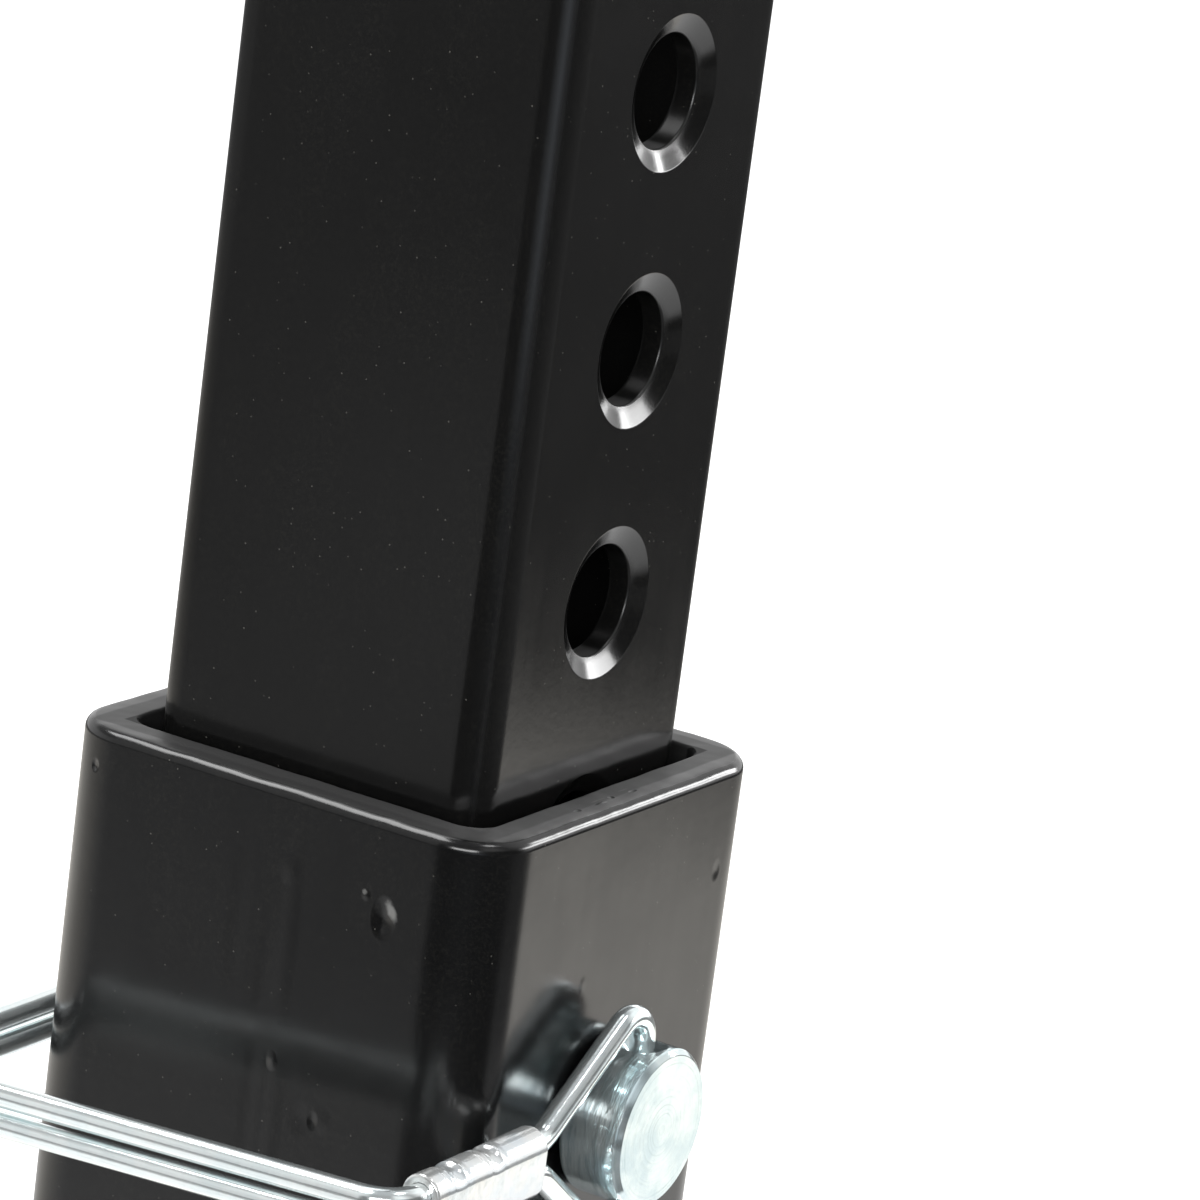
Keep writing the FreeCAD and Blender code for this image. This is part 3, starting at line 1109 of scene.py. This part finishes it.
@dataclass
class CrimpSleeve:
    """The short oval sleeve that is crimped round both strands.

    Attributes:
        height, hinge, far_end: its middle's height, its place along Y and its far end's along X.
        bore_thickness, bore_height: its bore's width across the strands' plane, and height over both strands.
        edge: radius of its end edges.
        crimp_radius, crimp_depth: radius of the tool that pressed the crimps, and how deep it pressed.
        crimp_lip, lip_width: height and width of the lip that a crimp raised beside it.
        press_from, press_power: from which share of the flat side a crimp presses, and how its depth grows.
        crimps: places of the crimps, from the far end.
        steps, spans, bore_spans: spans round it, along its outside and along its bore.
    """

    height: float = 273.85
    hinge: float = HINGE
    far_end: float = -38.0
    length: float = 19.0
    bore_thickness: float = 2.58
    bore_height: float = 5.53
    wall: float = 0.8
    edge: float = 0.3
    crimp_radius: float = 1.5
    crimp_depth: float = 0.45
    crimp_lip: float = 0.13
    lip_width: float = 0.9
    crimps: Pair = (3.9, 10.3)
    press_from: float = 0.6
    press_power: float = 1.5
    steps: int = 96
    spans: int = 150
    bore_spans: int = 8

    def section(self, x: float, thickness: float, height: float, pinch: float) -> list[Vector]:
        """Give one ring of the sleeve.

        Args:
            x: its place along the sleeve.
            thickness: its width across the strands' plane.
            height: its height over both strands.
            pinch: how far its upper and lower edges are pressed in.

        Returns:
            The ring's points.
        """
        radius, flat = thickness / 2, (height - thickness) / 2
        points, start = [], flat * self.press_from
        for step in range(self.steps):
            turn = math.tau * step / self.steps
            y, z = radius * math.cos(turn), radius * math.sin(turn)
            z += math.copysign(flat, z) if abs(z) > 1e-9 else 0.0
            press = max(0.0, (abs(z) - start) / (height / 2 - start))
            z -= math.copysign(pinch * press ** self.press_power, z)
            points.append(Vector((self.far_end + x, self.hinge + y, self.height + z)))
        return points

    def pinch(self, x: float) -> float:
        """Give how deep the crimps press.

        Args:
            x: the place along the sleeve.

        Returns:
            The depth; a negative one is the crimps' raised lip.
        """
        core = self.crimp_radius - self.crimp_depth
        chord = math.sqrt(self.crimp_radius ** 2 - core ** 2)
        deepest = 0.0
        for at in self.crimps:
            away = abs(x - at)
            if away < chord:
                deepest = max(deepest, math.sqrt(self.crimp_radius ** 2 - away ** 2) - core)
            elif away < chord + self.lip_width:
                deepest = min(deepest, -self.crimp_lip * math.sin(math.pi * (away - chord) / self.lip_width))
        return deepest

    def build(self, plate: Material) -> Piece:
        """Build and dress the crimp sleeve.

        Args:
            plate: its finish.

        Returns:
            The piece.
        """
        thickness, height = self.bore_thickness + 2 * self.wall, self.bore_height + 2 * self.wall
        ends = rounded((self.edge, self.edge), self.edge, 180.0, 270.0, 5)
        middle = [(self.edge + (self.length - 2 * self.edge) * span / self.spans, 0.0)
                  for span in range(1, self.spans)]
        outside = ends + middle + [(self.length - x, inset) for x, inset in reversed(ends)]
        rings = [self.section(x, thickness - 2 * inset, height - 2 * inset, self.pinch(x))
                 for x, inset in outside]
        for span in range(self.bore_spans + 1):
            x = self.length * (1 - span / self.bore_spans)
            rings.append(self.section(x, self.bore_thickness, self.bore_height, 0.0))
        piece = ring_skin("bail_crimp_sleeve", rings, loops=True)
        piece.data.materials.append(plate)
        return dressed(piece, 40.0, "bail_ferrule", "bail", Slot.CRIMP)


@dataclass
class Lamp:
    """A soft area lamp that looks at the extender: its place, size and aim in metres, its power in watts.

    Attributes:
        lean: how far it is turned in its own plane, in degrees.
    """

    name: str
    place: Point
    size: Pair
    power: float
    lean: float = 0.0
    aim: Point = (0.0, 0.0, 0.27)

    def build(self) -> None:
        """Put the lamp into the scene."""
        data = bpy.data.lights.new(self.name, "AREA")
        data.shape = "RECTANGLE"
        data.size, data.size_y = self.size
        data.energy = self.power
        lamp = bpy.data.objects.new(self.name, data)
        lamp.location = self.place
        way = (Vector(self.aim) - Vector(self.place)).to_track_quat("-Z", "Y")
        lamp.rotation_euler = (way @ Quaternion(ALONG_Z, math.radians(self.lean))).to_euler()
        lamp.visible_camera = False
        bpy.context.scene.collection.objects.link(lamp)


class Tint(Enum):
    """Colours of what the gloss mirrors, as shares of red, green and blue."""

    PLAIN = (1.0, 1.0, 1.0)
    WARM = (1.0, 0.965, 0.90)
    COOL = (0.84, 0.91, 1.0)


@dataclass(frozen=True)
class Stop:
    """What the gloss mirrors in a compass direction, in degrees from +X towards +Y."""

    degrees: float
    level: float
    tint: Tint = Tint.PLAIN


@dataclass(frozen=True)
class Band:
    """What the gloss mirrors in all directions, fading in from a height or distance till it shows in full."""

    start: float
    full: float
    stops: tuple[Stop, ...]


LOW_SKY = (
    Stop(-180, 0.05), Stop(-160, 0.2, Tint.COOL), Stop(-143, 0.5, Tint.COOL), Stop(-122, 0.08),
    Stop(-62, 0.05), Stop(-48, 1.25), Stop(25, 1.4), Stop(60, 1.2), Stop(115, 1.0), Stop(142, 0.7),
    Stop(151, 0.6), Stop(158, 0.08), Stop(180, 0.05))
HIGH_SKY = (
    Stop(-180, 0.25), Stop(-135, 0.25), Stop(-122, 0.9), Stop(-105, 0.9), Stop(-75, 0.25), Stop(-45, 1.0),
    Stop(15, 1.0), Stop(50, 0.8), Stop(72, 0.35), Stop(130, 0.35), Stop(142, 0.75), Stop(156, 0.6),
    Stop(170, 0.3), Stop(180, 0.25))
CLOSE_SHEET = (
    Stop(-180, 0.4), Stop(-160, 0.45), Stop(-110, 0.3), Stop(-80, 0.08), Stop(-73, 1.6), Stop(-30, 1.4),
    Stop(40, 0.8), Stop(90, 1.2, Tint.WARM), Stop(141, 1.0), Stop(150, 0.95), Stop(165, 0.45),
    Stop(180, 0.3))
NEAR_SHEET = (
    Stop(-180, 0.03), Stop(-50, 0.03), Stop(-40, 0.5, Tint.WARM), Stop(-33, 2.05, Tint.WARM),
    Stop(-27, 1.45, Tint.WARM), Stop(0, 0.95, Tint.WARM), Stop(60, 1.0, Tint.WARM),
    Stop(90, 1.25, Tint.WARM), Stop(119, 1.1, Tint.WARM), Stop(141, 0.68), Stop(147, 0.36),
    Stop(150, 0.36), Stop(160, 0.04), Stop(180, 0.03))
MID_SHEET = (
    Stop(-180, 0.03), Stop(-125, 0.05), Stop(-90, 0.15), Stop(-45, 0.25), Stop(-38, 0.10), Stop(-20, 0.10),
    Stop(60, 0.5, Tint.WARM), Stop(110, 0.3, Tint.WARM), Stop(140, 0.22), Stop(146, 0.25),
    Stop(149.5, 0.42), Stop(160, 0.04), Stop(180, 0.03))
FAR_SHEET = (
    Stop(-180, 0.04), Stop(-170, 0.06), Stop(-143, 0.95, Tint.COOL), Stop(-116, 0.08), Stop(-67, 0.2),
    Stop(-45, 0.2), Stop(-35, 0.12), Stop(0, 0.12), Stop(87, 0.2), Stop(134, 0.3), Stop(146, 0.22),
    Stop(149, 0.14), Stop(160, 0.04), Stop(180, 0.04))


@dataclass
class Studio:
    """The white table, the pale surroundings, the lamps and the camera, in metres.

    Attributes:
        sky: what the gloss mirrors over the low sky, by the direction's height.
        zenith: from what height the sky is plain.
        sheets: what the gloss mirrors on the table beyond the close sheet, by the distance.
        soft_light: strength of the even light from all round.
        table_height: its top's height, just below the sleeve's end.
        table_lift: how much the table is lifted towards white for the camera.
        camera_place, camera_right, camera_up: where the camera stands, and the picture's right and up.
        focal_length: in millimetres, over a sensor 36 mm wide.
    """

    lamps: tuple[Lamp, ...] = (
        Lamp("lamp_above", (-0.25, 0.59, 1.38), (0.8, 0.42), 9.0),
        Lamp("lamp_right", (1.01, -0.79, 0.645), (0.78, 0.18), 5.6, lean=-18.0),
        Lamp("lamp_high_right", (1.11, -0.46, 0.76), (0.24, 0.24), 3.4),
        Lamp("lamp_top_front", (0.13, -0.34, 1.55), (0.28, 0.20), 1.9),
        Lamp("lamp_front", (-1.13, -0.42, 0.70), (0.90, 0.34), 10.0),
    )
    sky: tuple[Band, ...] = (Band(0.36, 0.56, HIGH_SKY),)
    zenith: Pair = (0.75, 0.97)
    zenith_colour: Point = (0.35, 0.35, 0.36)
    sheets: tuple[Band, ...] = (Band(0.66, 0.76, NEAR_SHEET), Band(0.935, 1.10, MID_SHEET),
                                Band(1.3, 1.8, FAR_SHEET))
    soft_light: float = 0.7
    table_size: float = 8.0
    table_height: float = -0.0001
    table_colour: Point = (0.86, 0.86, 0.86)
    table_lift: float = 0.55
    camera_place: Point = (-0.46448225, -0.28496151, 0.46975391)
    camera_right: Point = (0.52375684, -0.84231091, 0.12724424)
    camera_up: Point = (0.16103108, 0.24457439, 0.95616545)
    focal_length: float = 173.349

    def around(self, graph: Graph, vector: Socket, stops: Sequence[Stop]) -> Socket:
        """Build a colour that changes with the compass direction.

        Args:
            graph: the node graph.
            vector: a direction or a place round the origin.
            stops: what stands where.

        Returns:
            The colour's socket, as bright as the stops' levels say.
        """
        turn = graph.add("ShaderNodeTexGradient", {"Vector": vector}, gradient_type="RADIAL")
        ramp = graph.add("ShaderNodeValToRGB", {"Fac": turn.outputs["Fac"]})
        table = ramp.color_ramp.elements
        while len(table) < len(stops):
            table.new(0.5)
        peak = max(stop.level for stop in stops)
        for element, stop in zip(table, stops):
            element.position = stop.degrees / 360.0 + 0.5
            element.color = (*(share * stop.level / peak for share in stop.tint.value), 1.0)
        return graph.times(ramp.outputs["Color"], peak)

    def mirrored(self, graph: Graph, vector: Socket, first: Sequence[Stop], bands: Sequence[Band],
                 far: Socket) -> Socket:
        """Build what the gloss mirrors, band over band.

        Args:
            graph: the node graph.
            vector: a direction or a place round the origin.
            first: what shows before the first band.
            bands: the bands, from the nearest on.
            far: the height or distance that the bands go by.

        Returns:
            The colour's socket.
        """
        colour = self.around(graph, vector, first)
        for band in bands:
            colour = graph.mix(graph.ramp(far, band.start, band.full), colour,
                               self.around(graph, vector, band.stops))
        return colour

    def world(self) -> None:
        """Build the surroundings: white to the camera, plain and soft for light, banded for reflections."""
        world = bpy.data.worlds.new("surroundings")
        bpy.context.scene.world = world
        world.use_nodes = True
        graph = Graph(world.node_tree)
        way = graph.add("ShaderNodeTexCoord").outputs["Generated"]
        ray = graph.add("ShaderNodeLightPath").outputs
        height = graph.parts(way)["Z"]
        sides = self.mirrored(graph, way, LOW_SKY, self.sky, height)
        sky = graph.mix(graph.ramp(height, *self.zenith), sides, self.zenith_colour)
        soft = graph.math("MULTIPLY", ray["Is Diffuse Ray"], self.soft_light)
        seen = graph.math("MAXIMUM", ray["Is Camera Ray"], ray["Is Transmission Ray"])
        light = graph.math("ADD", soft, seen)
        plain = graph.add("ShaderNodeBackground", {"Color": Tint.PLAIN.value, "Strength": light})
        glossy = graph.add("ShaderNodeBackground", {"Color": sky, "Strength": 1.0})
        graph.add("ShaderNodeOutputWorld", {"Surface": graph.split(ray["Is Glossy Ray"], plain, glossy)})

    def table(self) -> None:
        """Build the white table: lit and shadowed to the camera, and bright sheets to reflections."""
        half, low = self.table_size / 2, self.table_height
        mesh = bpy.data.meshes.new("table_top")
        corners = [(-half, -half, low), (half, -half, low), (half, half, low), (-half, half, low)]
        mesh.from_pydata(corners, [], [(0, 1, 2, 3)])
        material = bpy.data.materials.new("white_table")
        material.use_nodes = True
        graph = Graph(material.node_tree)
        place = graph.add("ShaderNodeTexCoord").outputs["Object"]
        ray = graph.add("ShaderNodeLightPath").outputs
        sheet = self.mirrored(graph, place, CLOSE_SHEET, self.sheets, graph.length(place))
        matt = graph.add("ShaderNodeBsdfDiffuse", {"Color": self.table_colour})
        lift = graph.math("MULTIPLY", ray["Is Camera Ray"], self.table_lift)
        lifted = graph.add("ShaderNodeEmission", {"Color": Tint.PLAIN.value, "Strength": lift})
        plain = graph.add("ShaderNodeAddShader", {0: matt.outputs[0], 1: lifted.outputs[0]})
        glossy = graph.add("ShaderNodeEmission", {"Color": sheet, "Strength": 1.0})
        graph.add("ShaderNodeOutputMaterial", {"Surface": graph.split(ray["Is Glossy Ray"], plain, glossy)})
        mesh.materials.append(material)
        new_object("table_top", mesh)

    def camera(self) -> None:
        """Build the camera at the photograph's place and angle."""
        data = bpy.data.cameras.new("camera")
        data.sensor_width = 36.0
        data.lens = self.focal_length
        data.clip_start = 0.02
        data.clip_end = 60.0
        camera = bpy.data.objects.new("camera", data)
        right, up = Vector(self.camera_right), Vector(self.camera_up)
        turn = Matrix((right, up, right.cross(up))).transposed().to_4x4()
        camera.matrix_world = Matrix.Translation(Vector(self.camera_place)) @ turn
        bpy.context.scene.collection.objects.link(camera)
        bpy.context.scene.camera = camera

    def build(self) -> None:
        """Build the whole studio."""
        self.world()
        self.table()
        for lamp in self.lamps:
            lamp.build()
        self.camera()
        bpy.context.scene.view_settings.view_transform = "Standard"


SLEEVE_DENTS = (
    Dent((-25.4, -14.1, 295.2), (2.5, 1.5, 2.4), 0.27),
    Dent((-25.4, -11.9, 296.9), (1.5, 0.6, 0.7), -0.04),
    Dent((-25.4, -3.66, 277.8), (1.0, 0.75, 1.2), -0.14),
    Dent((-25.4, -3.1, 296.9), (2.0, 1.4, 1.8), -0.03),
    Dent((-25.4, -3.7, 289.0), (2.0, 1.5, 16.0), -0.030),
    Dent((-25.4, -4.4, 268.0), (2.0, 1.4, 18.0), -0.030),
    Dent((-25.4, -1.5, 276.0), (2.0, 1.3, 22.0), 0.025),
    Dent((-25.4, 2.1, 290.0), (2.0, 1.6, 12.0), 0.015),
    Dent((-25.4, -7.6, 272.9), (2.0, 1.6, 2.2), 0.02),
    Dent((-25.4, -10.0, 273.4), (2.0, 1.4, 1.6), -0.015),
    Dent((-25.4, 20.7, 300.9), (3.0, 0.6, 0.8), 0.18),
    Dent((-25.4, -9.0, 273.2), (1.5, 0.7, 1.1), 0.10),
    Dent((-7.4, -23.1, 304.6), (0.7, 0.35, 0.6), 0.22),
    Dent((-3.4, -23.3, 304.6), (1.1, 0.30, 0.6), -0.18),
    Dent((-0.9, -22.9, 304.6), (0.5, 0.40, 0.6), 0.25),
    Dent((2.6, -23.2, 304.6), (0.8, 0.30, 0.6), 0.20),
    Dent((-5.9, -25.4, 287.4), (0.9, 2.0, 1.0), -0.03),
    Dent((17.6, -25.4, 294.1), (0.9, 3.0, 1.3), 0.05))
# Pale marks on the sleeve. The first two are painted highlights: a crescent in the ding and a spot on the
# small bump beside it. The last two are worn places on the rim's top.
SLEEVE_RUBS_AND_GLINTS = (
    RubAndPaintedGlint((-25.4, -14.9, 296.1), (1.5, 0.55, 1.25), 35.0, 0.7),
    RubAndPaintedGlint((-25.4, -11.7, 297.2), (1.5, 0.35, 0.35), 0.0, 0.5),
    RubAndPaintedGlint((-2.9, -22.6, 304.7), (1.6, 0.12, 0.5), 0.0, 0.35),
    RubAndPaintedGlint((2.0, -22.4, 304.7), (0.9, 0.12, 0.5), 0.0, 0.3))
GLOSS_COAT = BlackCoat(
    "gloss_black_coat", (0.0030, 0.0031, 0.0033), (0.17, 0.21), peel_size=1.8, peel_depth=0.006,
    grain_depth=0.0003, draw_depth=0.003, dust_spacing=1.1, inside=20.64, dents=SLEEVE_DENTS,
    rubs_and_painted_glints=SLEEVE_RUBS_AND_GLINTS)
SATIN_COAT = BlackCoat(
    "satin_black_coat", (0.0040, 0.0040, 0.0040), (0.13, 0.17), peel_size=1.2, peel_depth=0.004,
    grain_depth=0.0005, draw_depth=0.002, dust_spacing=0.95, inside=15.85, hole_depth=2.3)
PIN_PLATE = ZincPlate(
    "zinc_pin", (0.62, 0.69, 0.69), (0.465, 0.56, 0.59), (0.10, 0.20), Marks.TURNED, mark_depth=0.020,
    streak=0.40, metallic=0.86, axis=(0.0, 0.0, PIN_HEIGHT))
WIRE_PLATE = ZincPlate(
    "zinc_wire", (0.93, 0.98, 0.98), (0.86, 0.94, 0.95), (0.10, 0.20), Marks.DRAWN, mark_depth=0.006,
    streak=0.10, metallic=0.90)
CRIMP_PLATE = ZincPlate(
    "zinc_ferrule", (0.70, 0.71, 0.70), (0.62, 0.67, 0.70), (0.13, 0.21), Marks.PRESSED, mark_depth=0.010,
    streak=0.08, metallic=0.72)


def report(piece: Piece) -> None:
    """Log a finished piece's size in faces."""
    LOG.info("%s: %d faces", piece.name, len(piece.data.polygons))


def main() -> None:
    """Build the pieces in order, then the studio."""
    logging.basicConfig(level=logging.INFO, format="%(message)s")
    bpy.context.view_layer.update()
    row, bends = BoreRow(), BentWire()
    report(Sleeve().build(row, GLOSS_COAT.build()))
    report(Bar().build(row, SATIN_COAT.build()))
    report(LockPin().build(row, PIN_PLATE.build()))
    report(Bail().build(bends, WIRE_PLATE.build()))
    report(CrimpSleeve().build(CRIMP_PLATE.build()))
    Studio().build()
    bpy.context.view_layer.update()


if __name__ == "__main__":
    main()
